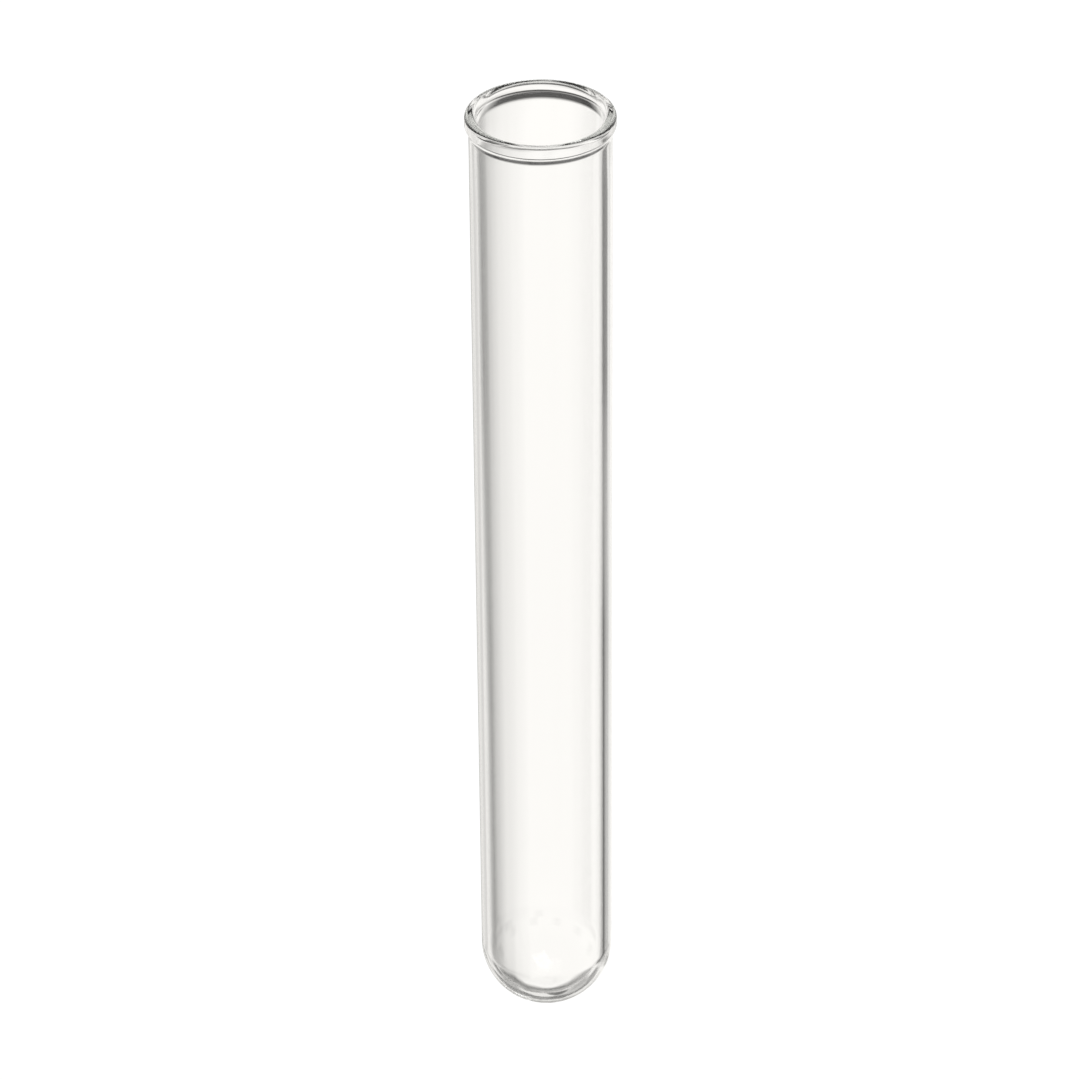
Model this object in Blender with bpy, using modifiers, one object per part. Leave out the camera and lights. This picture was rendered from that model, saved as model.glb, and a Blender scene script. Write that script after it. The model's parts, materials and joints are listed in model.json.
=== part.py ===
"""A laboratory test tube with a round bottom and a rolled rim, 20 mm by 150 mm nominal.

The tube is one piece of drawn borosilicate glass: a straight thin-walled body, closed by a hemisphere
at the bottom and thickened by a flame-rolled rim at the mouth. It is a turned shape, so one outline of
the wall is drawn at +X and spun round the Z axis.

Units are metres. The origin is on the axis, at the lowest point of the round bottom, and +Z runs up
to the mouth.
"""

import math

import bpy

# Driving dimensions.
TUBE_LENGTH = 0.151  # lowest point of the bottom to the top of the rim
BODY_DIAMETER = 0.0197  # outside of the straight body
WALL = 0.00108  # glass thickness of the straight body
BOTTOM_THICKNESS = 0.0013  # the glass gathers a little at the bottom
RIM_DIAMETER = 0.02078  # outside of the rolled rim
RIM_MOUTH_ROUND = 0.0007  # rounding of the rim's inner edge
RIM_TOP_ROUND = 0.0006  # rounding of the rim's outer edge
RIM_BAND_HEIGHT = 0.0008  # straight side of the rim, under its outer rounding
RIM_FOOT_ROUND = 0.0006  # rounding that turns the rim's side inwards, at its foot
RIM_FILLET = 0.0024  # hollow fillet from there to the body

# How finely the round stretches are divided.
TURN_STEPS = 64  # segments round the axis
BOTTOM_STEPS = 14  # points along a quarter circle of the bottom
CORNER_STEPS = 4  # points along a rounded corner of the rim
FOOT_STEPS = 3  # points along the rounding at the foot of the rim
FILLET_STEPS = 4  # points along the hollow fillet
AXIS_MERGE = 1e-5  # outline points nearer to the axis than this become one

GLASS_COLOUR = (0.96, 0.97, 0.96, 1.0)
GLASS_ROUGHNESS = 0.02
GLASS_IOR = 1.473

# Worked out from the driving dimensions.
BODY_RADIUS = BODY_DIAMETER / 2
BORE_RADIUS = BODY_RADIUS - WALL
RIM_RADIUS = RIM_DIAMETER / 2
BOWL_CENTRE = BOTTOM_THICKNESS + BORE_RADIUS  # centre of the hemisphere inside the bottom
FOOT_CENTRE_X = RIM_RADIUS - RIM_FOOT_ROUND
FOOT_CENTRE_Z = TUBE_LENGTH - RIM_TOP_ROUND - RIM_BAND_HEIGHT
FILLET_CENTRE_X = BODY_RADIUS + RIM_FILLET
FOOT_TURN = math.acos((FILLET_CENTRE_X - FOOT_CENTRE_X) / (RIM_FOOT_ROUND + RIM_FILLET))
FILLET_CENTRE_Z = FOOT_CENTRE_Z - (RIM_FOOT_ROUND + RIM_FILLET) * math.sin(FOOT_TURN)


def arc(centre, radius, start, end, steps):
    """Points of an arc in the XZ plane, both ends included, with its angles in degrees from +X."""
    points = []
    for step in range(steps + 1):
        angle = math.radians(start + (end - start) * step / steps)
        points.append((centre[0] + radius * math.cos(angle), centre[1] + radius * math.sin(angle)))
    return points


def bore_outline():
    """The inside of the tube, from the axis at the bottom up to the rounding of the mouth."""
    bowl = arc((0, BOWL_CENTRE), BORE_RADIUS, -90, 0, BOTTOM_STEPS)
    bowl[0] = (0, BOTTOM_THICKNESS)
    return bowl


def rim_outline():
    """The rolled rim, from the mouth over its narrow flat top and down its outer side to the body."""
    inner_top = TUBE_LENGTH - RIM_MOUTH_ROUND
    outer_top = TUBE_LENGTH - RIM_TOP_ROUND
    turn = math.degrees(FOOT_TURN)
    inner = arc((BORE_RADIUS + RIM_MOUTH_ROUND, inner_top), RIM_MOUTH_ROUND, 180, 90, CORNER_STEPS)
    outer = arc((RIM_RADIUS - RIM_TOP_ROUND, outer_top), RIM_TOP_ROUND, 90, 0, CORNER_STEPS)
    foot = arc((FOOT_CENTRE_X, FOOT_CENTRE_Z), RIM_FOOT_ROUND, 0, -turn, FOOT_STEPS)
    fillet = arc((FILLET_CENTRE_X, FILLET_CENTRE_Z), RIM_FILLET, 180 - turn, 180, FILLET_STEPS)
    return inner + outer + foot + fillet[1:]


def skin_outline():
    """The outside of the round bottom, from the straight body down to the axis."""
    bowl = arc((0, BODY_RADIUS), BODY_RADIUS, 0, -90, BOTTOM_STEPS)
    bowl[-1] = (0, 0)
    return bowl


def glass_material():
    """Clear borosilicate glass."""
    material = bpy.data.materials.new("borosilicate_glass")
    material.use_nodes = True
    shader = material.node_tree.nodes["Principled BSDF"]
    shader.inputs["Base Color"].default_value = GLASS_COLOUR
    shader.inputs["Roughness"].default_value = GLASS_ROUGHNESS
    shader.inputs["Metallic"].default_value = 0.0
    shader.inputs["IOR"].default_value = GLASS_IOR
    shader.inputs["Transmission Weight"].default_value = 1.0
    return material


def turned(name, outline, material, collection):
    """A solid of revolution, from an outline that goes up the bore and down the skin, axis to axis."""
    mesh = bpy.data.meshes.new(name)
    points = [(x, 0, z) for x, z in outline]
    edges = [(i, i + 1) for i in range(len(points) - 1)]
    mesh.from_pydata(points, edges, [])
    mesh.materials.append(material)
    solid = bpy.data.objects.new(name, mesh)
    collection.objects.link(solid)
    screw = solid.modifiers.new("spin", "SCREW")
    screw.axis = "Z"
    screw.angle = 2 * math.pi
    screw.steps = TURN_STEPS
    screw.render_steps = TURN_STEPS
    screw.use_merge_vertices = True
    screw.merge_threshold = AXIS_MERGE
    screw.use_smooth_shade = True
    return solid


def glass_tube(collection):
    """The whole tube: body, round bottom and rolled rim are the same piece of glass."""
    outline = bore_outline() + rim_outline() + skin_outline()
    return turned("glass_tube", outline, glass_material(), collection)


def clear_scene():
    for thing in list(bpy.data.objects):
        bpy.data.objects.remove(thing, do_unlink=True)


def main():
    clear_scene()
    parts = bpy.data.collections.new("test_tube")
    bpy.context.scene.collection.children.link(parts)
    glass_tube(parts)


main()
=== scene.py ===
"""The looks of a clear glass test tube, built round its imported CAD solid.

One fine turned mesh stands for the CAD tube: the same outline with smooth arcs, and with the small
unevenness of real drawn and flame-worked glass. It is in metres, in the part's own frame: the origin
is at the lowest point of the round bottom and +Z runs up to the mouth.

Clear glass has no look of its own: it shows what stands round it, bent. So the studio is in two
parts. The camera sees a plain pale floor that turns up into a dome. The glass sees the rest of the
room: bright walls, floor and ceiling, with dark flags in front that draw the edges of the glass.
"""

import json
import math

import bpy
import numpy as np
from mathutils import Matrix, Vector


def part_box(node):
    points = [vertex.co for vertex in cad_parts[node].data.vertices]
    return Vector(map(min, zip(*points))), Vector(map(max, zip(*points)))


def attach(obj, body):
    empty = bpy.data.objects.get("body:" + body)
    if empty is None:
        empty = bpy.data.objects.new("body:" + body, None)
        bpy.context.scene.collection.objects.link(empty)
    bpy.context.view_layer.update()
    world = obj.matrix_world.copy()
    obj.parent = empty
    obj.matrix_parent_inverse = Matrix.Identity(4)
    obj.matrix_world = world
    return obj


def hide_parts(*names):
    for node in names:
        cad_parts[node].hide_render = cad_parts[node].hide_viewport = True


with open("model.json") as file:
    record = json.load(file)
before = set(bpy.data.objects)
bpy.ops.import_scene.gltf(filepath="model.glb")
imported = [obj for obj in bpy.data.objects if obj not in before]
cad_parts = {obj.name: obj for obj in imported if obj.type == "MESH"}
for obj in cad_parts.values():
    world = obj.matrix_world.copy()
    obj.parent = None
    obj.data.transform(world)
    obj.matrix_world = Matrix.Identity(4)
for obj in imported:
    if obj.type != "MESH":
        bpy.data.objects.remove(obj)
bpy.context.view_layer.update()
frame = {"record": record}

CAD_NODE = "glass_tube"

low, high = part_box(CAD_NODE)

# The tube's outline, as in the CAD part, in metres.
TUBE_LENGTH = high.z - low.z
RIM_RADIUS = (high.x - low.x) / 2
BODY_RADIUS = frame["record"]["mounts"][0]["dims"]["r_mm"] / 1000
WALL = 0.00108
BOTTOM_THICKNESS = 0.0013
RIM_MOUTH_ROUND = 0.0007
RIM_TOP_ROUND = 0.0006
RIM_BAND_HEIGHT = 0.0008
RIM_FOOT_ROUND = 0.0006
RIM_FILLET = 0.0024

# What the draw and the flame leave in the glass, in metres.
BORE_SHIFT = -0.00015
BOTTOM_GATHER = 0.00022
GATHER_SPREAD = 0.0016
GATHER_SHIFT = (0.0006, -0.0004)
DRAW_LINES = ((3, 5e-6), (7, 2.5e-6), (16, 1.2e-6), (29, 0.7e-6), (47, 0.4e-6))
DRAW_TWIST = 1.3
RIM_WAVES = ((2, 6e-5), (3, 4e-5), (5, 2e-5), (8, 0.8e-5))
RIM_WAVE_DEPTH = 0.006
SEED = 7
SMALLEST_RADIUS = 1e-9  # keeps the division by a radius safe on the axis

# How finely the mesh is divided.
TURN_STEPS = 256
BOTTOM_STEPS = 80
WALL_STEPS = 40
CORNER_STEPS = 14
FILLET_STEPS = 20

# The glass.
GLASS_IOR = 1.473
GLASS_COLOUR = (0.998, 0.998, 0.997, 1.0)
ABSORPTION_COLOUR = (0.95, 0.96, 0.95, 1.0)
ABSORPTION_DENSITY = 5.0
STRIA_SCALE = (420.0, 420.0, 9.0)  # fine round the tube and long along it
STRIA_DETAIL = 3.0
STRIA_HEIGHT = 1.2e-6
HAZE_SCALE = 55.0
HAZE_DETAIL = 4.0
HAZE_FROM, HAZE_TO = 0.5, 0.8  # the noise levels between which the haze comes in
HAZE_ROUGHNESS = (0.0, 0.012)

# What the camera sees round the tube: a plain pale floor that curves up into a dome.
COVE_RADIUS = 3.0
COVE_LIGHT = 1.06
COVE_STEPS = 96
COVE_RISE_STEPS = 24

# What the glass sees, with all angles in degrees. The brightness of the bare room at each elevation.
ROOM_LEVELS = ((-90, 0.92), (-60, 0.88), (-45, 0.97), (-27, 1.01), (-20, 0.92), (-9, 1.0), (5, 1.0),
               (15, 0.92), (35, 0.80), (90, 0.85))

# Flags and shades that stand in it, the later ones in front. Each is: from azimuth, to azimuth, from
# elevation, to elevation, brightness, and how far its edges fade across and up. Azimuth 0 is straight
# behind the tube as the camera sees it, and 90 is on the camera's left.
FLAGS = (
    # The room behind the camera is a little darker.
    (125, 235, -34, -18, 0.82, 20, 6),
    # The left of the room, and the flag that draws the body's left edge.
    (28, 58, -45, -11, 0.85, 4, 3),
    (92, 112, -45, -18, 0.50, 12, 4),
    (68, 94, -45, -24, 0.06, 8, 4),
    (56, 90, -31, -24, 0.03, 8, 4),
    # Two soft flags on the left: the inside of the wall shows them as faint lines.
    (10, 14, -45, -24, 0.50, 10, 4),
    (34, 38, -45, -24, 0.58, 7, 4),
    # The flags that draw the body's right edge.
    (-46, -27, -44, -34, 0.52, 4, 3),
    (-60, -46, -44, -34, 0.12, 8, 3),
    (-57, -34, -31, -24, 0.18, 7, 4),
    (-86, -52, -23, -20, 0.15, 12, 4),
    # A dark gap behind the mouth: the far side of the rim shows it as a crescent.
    (-9, 6, -20, -12.5, 0.05, 9, 4.5),
    # Two flags to the front right, which draw the edges of a tube seen from the back left.
    (187, 198, -22, -11, 0.12, 5, 3),
    (252, 263, -22, -11, 0.12, 5, 3),
    # The ceiling is darker over the tube's far side.
    (-14, 14, 25, 40, 0.38, 12, 8),
    # Low flags: the round bottom shows them.
    (52, 108, -54, -47, 0.30, 12, 4),
    (-46, -18, -56, -49, 0.20, 8, 3),
    (-68, 64, -66, -58, 0.45, 14, 5),
    (-18, 28, -68, -53, 0.10, 10, 4),
    (10, 25, -60, -49, 0.06, 5, 3),
    (-58, -26, -84, -72, 0.12, 9, 4),
    (56, 92, -84, -75, 0.35, 9, 4),
)

# Narrow dark bars near the horizon, written like a flag and repeated every 45 degrees all round: they
# draw the edges of a tube seen from its own height.
BARS = (18, 27, -8, 5, 0.18, 6, 3)
BARS_EVERY = 45.0
FULL_TURN = 360.0
STRAIGHT_DOWN, STRAIGHT_UP = -90, 90

# The tint of the light in the room, a little warm. The gain lets the colours in the nodes stay below 1.
ROOM_TINT = (1.01, 0.995, 0.965, 1.0)
ROOM_GAIN = 2.0

# A soft box overhead, in metres and watts.
LAMP_PLACE = (0.2, -0.3, 1.6)
LAMP_SIZE = 0.8
LAMP_POWER = 3.0

# The camera: its place from the tube's axis and over its rim in metres, its pitch and roll in radians,
# and its lens in millimetres.
CAMERA_BACK = 0.5759
CAMERA_ABOVE_RIM = 0.3041
CAMERA_PITCH = math.radians(32.944)
CAMERA_ROLL = 0.0082
CAMERA_LENS = 159.16
CAMERA_SIDE = -0.0005287

# How many times light may bounce: it runs round inside the rim many times before it leaves.
LIGHT_BOUNCES = 160

BORE_RADIUS = BODY_RADIUS - WALL
BOWL_CENTRE = BOTTOM_THICKNESS + BORE_RADIUS


def arc(centre, radius, start, end, steps):
    """Points of an arc, both ends included, with its angles in degrees from +X."""
    angles = np.radians(np.linspace(start, end, steps + 1))
    return np.column_stack((centre[0] + radius * np.cos(angles), centre[1] + radius * np.sin(angles)))


def straight(start, end, steps):
    """Points between two ends, which are left out."""
    share = np.linspace(0, 1, steps + 1)[1:-1, None]
    return np.array(start) * (1 - share) + np.array(end) * share


def bore_outline():
    """The inside, from the axis up to the rounding of the mouth, without the point on the axis."""
    bowl = arc((0, BOWL_CENTRE), BORE_RADIUS, -90, 0, BOTTOM_STEPS)
    wall = straight(bowl[-1], (BORE_RADIUS, TUBE_LENGTH - RIM_MOUTH_ROUND), WALL_STEPS)
    return np.vstack((bowl[1:], wall))


def rim_outline():
    """The rolled rim, over its top and down its side and fillet to the body."""
    foot_x = RIM_RADIUS - RIM_FOOT_ROUND
    foot_z = TUBE_LENGTH - RIM_TOP_ROUND - RIM_BAND_HEIGHT
    reach = RIM_FOOT_ROUND + RIM_FILLET
    turn = math.acos((BODY_RADIUS + RIM_FILLET - foot_x) / reach)
    fillet_centre = (BODY_RADIUS + RIM_FILLET, foot_z - reach * math.sin(turn))
    turn = math.degrees(turn)
    inner_centre = (BORE_RADIUS + RIM_MOUTH_ROUND, TUBE_LENGTH - RIM_MOUTH_ROUND)
    outer_centre = (RIM_RADIUS - RIM_TOP_ROUND, TUBE_LENGTH - RIM_TOP_ROUND)
    inner = arc(inner_centre, RIM_MOUTH_ROUND, 180, 90, CORNER_STEPS)
    outer = arc(outer_centre, RIM_TOP_ROUND, 90, 0, CORNER_STEPS)
    foot = arc((foot_x, foot_z), RIM_FOOT_ROUND, 0, -turn, CORNER_STEPS)
    fillet = arc(fillet_centre, RIM_FILLET, 180 - turn, 180, FILLET_STEPS)
    return np.vstack((inner, outer, foot, fillet[1:]))


def skin_outline(top):
    """The outside, from under the rim down to the axis, without the point on the axis."""
    bowl = arc((0, BODY_RADIUS), BODY_RADIUS, 0, -90, BOTTOM_STEPS)
    return np.vstack((straight(top, bowl[0], WALL_STEPS), bowl[:-1]))


def waves(turn, height, lines, twist, seed):
    """A small change of radius round the tube, of a few regular waves that twist slowly along it."""
    phases = np.random.default_rng(seed).uniform(0, 2 * math.pi, len(lines))
    change = np.zeros(np.broadcast(turn, height).shape)
    for (count, size), phase in zip(lines, phases):
        change += size * np.sin(count * turn + phase + twist * height / TUBE_LENGTH * math.sin(phase))
    return change


def uneven(points, inside):
    """Points of the bore (inside is 1) or the skin (0), moved as real glass differs from the drawing."""
    x, y, z = points[..., 0], points[..., 1], points[..., 2]
    radius = np.hypot(x, y)
    turn = np.arctan2(y, x)
    share = np.clip(radius / BORE_RADIUS, 0, 1) ** 2
    near_rim = np.clip(1 - (TUBE_LENGTH - z) / RIM_WAVE_DEPTH, 0, 1)
    draw = waves(turn, z, DRAW_LINES, DRAW_TWIST, SEED + inside) * share * (1 - near_rim)
    flame = waves(turn, z, RIM_WAVES, 0, SEED + 2) * near_rim ** 2
    grown = radius + draw + np.where(inside, flame, 0)
    scale = np.where(radius > 0, grown / np.maximum(radius, SMALLEST_RADIUS), 1)
    away = np.hypot(x - GATHER_SHIFT[0], y - GATHER_SHIFT[1])
    gather = np.where(z < BOWL_CENTRE, BOTTOM_GATHER * np.exp(-(away / GATHER_SPREAD) ** 2), 0)
    shift = BORE_SHIFT * (1 - near_rim)
    return np.stack((x * scale + inside * shift, y * scale, z + inside * gather), axis=-1)


def turned_points():
    """How many rings the surface has, and its points: ring by ring, then the two ends on the axis."""
    bore = bore_outline()
    rim = rim_outline()
    skin = skin_outline(rim[-1])
    outline = np.vstack((bore, rim, skin))
    turn = np.linspace(0, 2 * math.pi, TURN_STEPS, endpoint=False)
    radius, height = outline[:, 0, None], outline[:, 1, None]
    level = np.repeat(height, TURN_STEPS, 1)
    rings = np.stack((radius * np.cos(turn), radius * np.sin(turn), level), axis=-1)
    rings[:len(bore)] = uneven(rings[:len(bore)], 1)
    rings[-len(skin):] = uneven(rings[-len(skin):], 0)
    inner_end = uneven(np.array([(0, 0, BOTTOM_THICKNESS)], float), 1)
    outer_end = [(0, 0, 0)]
    return len(outline), np.vstack((rings.reshape(-1, 3), inner_end, outer_end))


def turned_faces(count):
    """The faces between neighbouring rings, and a fan round each end."""
    step = np.arange(TURN_STEPS)
    after = (step + 1) % TURN_STEPS
    faces = []
    for ring in range(count - 1):
        here, there = ring * TURN_STEPS, (ring + 1) * TURN_STEPS
        faces.extend(np.column_stack((here + step, there + step, there + after, here + after)).tolist())
    last = (count - 1) * TURN_STEPS
    inner_end, outer_end = count * TURN_STEPS, count * TURN_STEPS + 1
    faces.extend((inner_end, a, b) for a, b in zip(step.tolist(), after.tolist()))
    faces.extend((last + a, outer_end, last + b) for a, b in zip(step.tolist(), after.tolist()))
    return faces


def turned(name):
    """The closed mesh of revolution, from the axis inside the bottom round to the axis outside it."""
    count, points = turned_points()
    mesh = bpy.data.meshes.new(name)
    mesh.from_pydata(points.tolist(), [], turned_faces(count))
    mesh.shade_smooth()
    mesh.validate()
    thing = bpy.data.objects.new(name, mesh)
    bpy.context.scene.collection.objects.link(thing)
    return thing


def map_range(tree, value, start, end, first, last):
    """A value between start and end as one between first and last, held at both ends."""
    node = tree.nodes.new("ShaderNodeMapRange")
    node.inputs["From Min"].default_value = start
    node.inputs["From Max"].default_value = end
    node.inputs["To Min"].default_value = first
    node.inputs["To Max"].default_value = last
    tree.links.new(value, node.inputs["Value"])
    return node.outputs["Result"]


def math_node(tree, operation, *values):
    """The result of one sum on sockets and numbers."""
    node = tree.nodes.new("ShaderNodeMath")
    node.operation = operation
    for socket, value in zip(node.inputs, values):
        if isinstance(value, (int, float)):
            socket.default_value = value
        else:
            tree.links.new(value, socket)
    return node.outputs[0]


def glass_material():
    """Clear borosilicate glass: fine lines along the draw, and the faintest haze of handling."""
    material = bpy.data.materials.new("borosilicate_glass")
    material.use_nodes = True
    nodes, links = material.node_tree.nodes, material.node_tree.links
    shader = nodes["Principled BSDF"]
    shader.inputs["Base Color"].default_value = GLASS_COLOUR
    shader.inputs["IOR"].default_value = GLASS_IOR
    shader.inputs["Transmission Weight"].default_value = 1.0
    place = nodes.new("ShaderNodeTexCoord")
    stretch = nodes.new("ShaderNodeMapping")
    stretch.inputs["Scale"].default_value = STRIA_SCALE
    striae = nodes.new("ShaderNodeTexNoise")
    striae.inputs["Scale"].default_value = 1.0
    striae.inputs["Detail"].default_value = STRIA_DETAIL
    bump = nodes.new("ShaderNodeBump")
    bump.inputs["Strength"].default_value = 1.0
    bump.inputs["Distance"].default_value = STRIA_HEIGHT
    links.new(place.outputs["Object"], stretch.inputs["Vector"])
    links.new(stretch.outputs["Vector"], striae.inputs["Vector"])
    links.new(striae.outputs["Fac"], bump.inputs["Height"])
    links.new(bump.outputs["Normal"], shader.inputs["Normal"])
    haze = nodes.new("ShaderNodeTexNoise")
    haze.inputs["Scale"].default_value = HAZE_SCALE
    haze.inputs["Detail"].default_value = HAZE_DETAIL
    links.new(place.outputs["Object"], haze.inputs["Vector"])
    rough = map_range(material.node_tree, haze.outputs["Fac"], HAZE_FROM, HAZE_TO, *HAZE_ROUGHNESS)
    links.new(rough, shader.inputs["Roughness"])
    inside = nodes.new("ShaderNodeVolumeAbsorption")
    inside.inputs["Color"].default_value = ABSORPTION_COLOUR
    inside.inputs["Density"].default_value = ABSORPTION_DENSITY
    links.new(inside.outputs["Volume"], nodes["Material Output"].inputs["Volume"])
    return material


def tube():
    """The one piece: it stands for the CAD tube and rides its body."""
    piece = turned("fine_glass_tube")
    piece.data.materials.append(glass_material())
    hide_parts(CAD_NODE)
    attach(piece, "root")


def pale_material():
    """Evenly lit white paper, bright enough to lose its own shadows."""
    material = bpy.data.materials.new("pale_paper")
    material.use_nodes = True
    nodes = material.node_tree.nodes
    nodes.clear()
    glow = nodes.new("ShaderNodeEmission")
    glow.inputs["Strength"].default_value = COVE_LIGHT
    out = nodes.new("ShaderNodeOutputMaterial")
    material.node_tree.links.new(glow.outputs[0], out.inputs["Surface"])
    return material


def floor_and_dome():
    """A pale floor under the tube that turns up into a dome: the camera sees it, and the glass does not."""
    mesh = bpy.data.meshes.new("floor")
    turn = np.linspace(0, 2 * math.pi, COVE_STEPS, endpoint=False)
    rise = np.linspace(0, math.pi / 2, COVE_RISE_STEPS, endpoint=False)
    points = [(0, 0, low.z)]
    for angle in rise:
        radius, height = COVE_RADIUS * math.cos(angle), low.z + COVE_RADIUS * math.sin(angle)
        points.extend((radius * math.cos(a), radius * math.sin(a), height) for a in turn)
    points.append((0, 0, low.z + COVE_RADIUS))
    faces = []
    for i in range(COVE_STEPS):
        j = (i + 1) % COVE_STEPS
        faces.append((0, 1 + i, 1 + j))
        for ring in range(COVE_RISE_STEPS - 1):
            here, there = 1 + ring * COVE_STEPS, 1 + (ring + 1) * COVE_STEPS
            faces.append((here + i, there + i, there + j, here + j))
        last = 1 + (COVE_RISE_STEPS - 1) * COVE_STEPS
        faces.append((last + i, len(points) - 1, last + j))
    mesh.from_pydata(points, [], faces)
    mesh.materials.append(pale_material())
    floor = bpy.data.objects.new("floor", mesh)
    floor.visible_transmission = False
    floor.visible_glossy = False
    floor.visible_diffuse = False
    floor.visible_shadow = False
    bpy.context.scene.collection.objects.link(floor)


def grey(level):
    """A brightness as a colour, before the room's gain."""
    return [level / ROOM_GAIN] * 3 + [1]


def level_light(tree, elevation):
    """The brightness of the bare room at an elevation."""
    node = tree.nodes.new("ShaderNodeValToRGB")
    ramp = node.color_ramp
    while len(ramp.elements) < len(ROOM_LEVELS):
        ramp.elements.new(0.5)
    for element, (height, level) in zip(ramp.elements, ROOM_LEVELS):
        element.position = (height - STRAIGHT_DOWN) / (STRAIGHT_UP - STRAIGHT_DOWN)
        element.color = grey(level)
    share = map_range(tree, elevation, STRAIGHT_DOWN, STRAIGHT_UP, 0, 1)
    tree.links.new(share, node.inputs["Fac"])
    return node.outputs["Color"]


def between(tree, angle, start, end, fade, period=FULL_TURN):
    """1 where an angle lies between two others, and 0 beyond the fade on either side."""
    off = math_node(tree, "SUBTRACT", angle, (start + end) / 2)
    off = math_node(tree, "WRAP", off, period / 2, -period / 2)
    off = math_node(tree, "ABSOLUTE", off)
    half = (end - start) / 2
    return map_range(tree, off, half, half + fade, 1, 0)


def flagged(tree, light, azimuth, elevation, flag, every=FULL_TURN):
    """The light with one more flag in front of it, or with one at every so many degrees."""
    left, right, bottom, top, level, fade_across, fade_up = flag
    across = between(tree, azimuth, left, right, fade_across, every)
    up = between(tree, elevation, bottom, top, fade_up)
    share = math_node(tree, "MULTIPLY", across, up)
    mix = tree.nodes.new("ShaderNodeMix")
    mix.data_type = "RGBA"
    tree.links.new(share, mix.inputs["Factor"])
    tree.links.new(light, mix.inputs["A"])
    mix.inputs["B"].default_value = grey(level)
    return mix.outputs["Result"]


def room():
    """The room as the glass sees it: brightness by elevation, the bars and the flags."""
    sky = bpy.data.worlds.new("studio")
    bpy.context.scene.world = sky
    sky.use_nodes = True
    tree = sky.node_tree
    place = tree.nodes.new("ShaderNodeTexCoord")
    split = tree.nodes.new("ShaderNodeSeparateXYZ")
    tree.links.new(place.outputs["Generated"], split.inputs[0])
    leftward = math_node(tree, "MULTIPLY", split.outputs["X"], -1.0)
    azimuth = math_node(tree, "DEGREES", math_node(tree, "ARCTAN2", leftward, split.outputs["Y"]))
    elevation = math_node(tree, "DEGREES", math_node(tree, "ARCSINE", split.outputs["Z"]))
    light = level_light(tree, elevation)
    light = flagged(tree, light, azimuth, elevation, BARS, BARS_EVERY)
    for flag in FLAGS:
        light = flagged(tree, light, azimuth, elevation, flag)
    tint = tree.nodes.new("ShaderNodeMix")
    tint.data_type = "RGBA"
    tint.blend_type = "MULTIPLY"
    tint.inputs["Factor"].default_value = 1.0
    tint.inputs["B"].default_value = ROOM_TINT
    tree.links.new(light, tint.inputs["A"])
    back = tree.nodes["Background"]
    back.inputs["Strength"].default_value = ROOM_GAIN
    tree.links.new(tint.outputs["Result"], back.inputs["Color"])


def lamp():
    """The soft box, aimed at the middle of the tube."""
    data = bpy.data.lights.new("soft_box", "AREA")
    data.size = LAMP_SIZE
    data.energy = LAMP_POWER
    light = bpy.data.objects.new("soft_box", data)
    light.location = LAMP_PLACE
    aim = Vector(LAMP_PLACE) - Vector((0, 0, TUBE_LENGTH / 2))
    light.rotation_euler = aim.to_track_quat("Z", "Y").to_euler()
    bpy.context.scene.collection.objects.link(light)


def camera():
    """The view of the photograph: from in front and above, a little to one side and turned a little."""
    data = bpy.data.cameras.new("camera")
    data.lens = CAMERA_LENS
    view = bpy.data.objects.new("camera", data)
    bpy.context.scene.collection.objects.link(view)
    away = Vector((0, -math.cos(CAMERA_PITCH), math.sin(CAMERA_PITCH)))
    turn = away.to_track_quat("Z", "Y").to_matrix().to_4x4()
    place = Vector((CAMERA_SIDE, -CAMERA_BACK, high.z + CAMERA_ABOVE_RIM))
    view.matrix_world = Matrix.Translation(place) @ turn @ Matrix.Rotation(-CAMERA_ROLL, 4, "Z")
    bpy.context.scene.camera = view


def settings():
    """Plain colours, and enough bounces for thick curved glass."""
    scene = bpy.context.scene
    scene.view_settings.view_transform = "Standard"
    scene.cycles.max_bounces = LIGHT_BOUNCES
    scene.cycles.transmission_bounces = LIGHT_BOUNCES
    scene.cycles.glossy_bounces = LIGHT_BOUNCES


tube()
floor_and_dome()
room()
lamp()
camera()
settings()
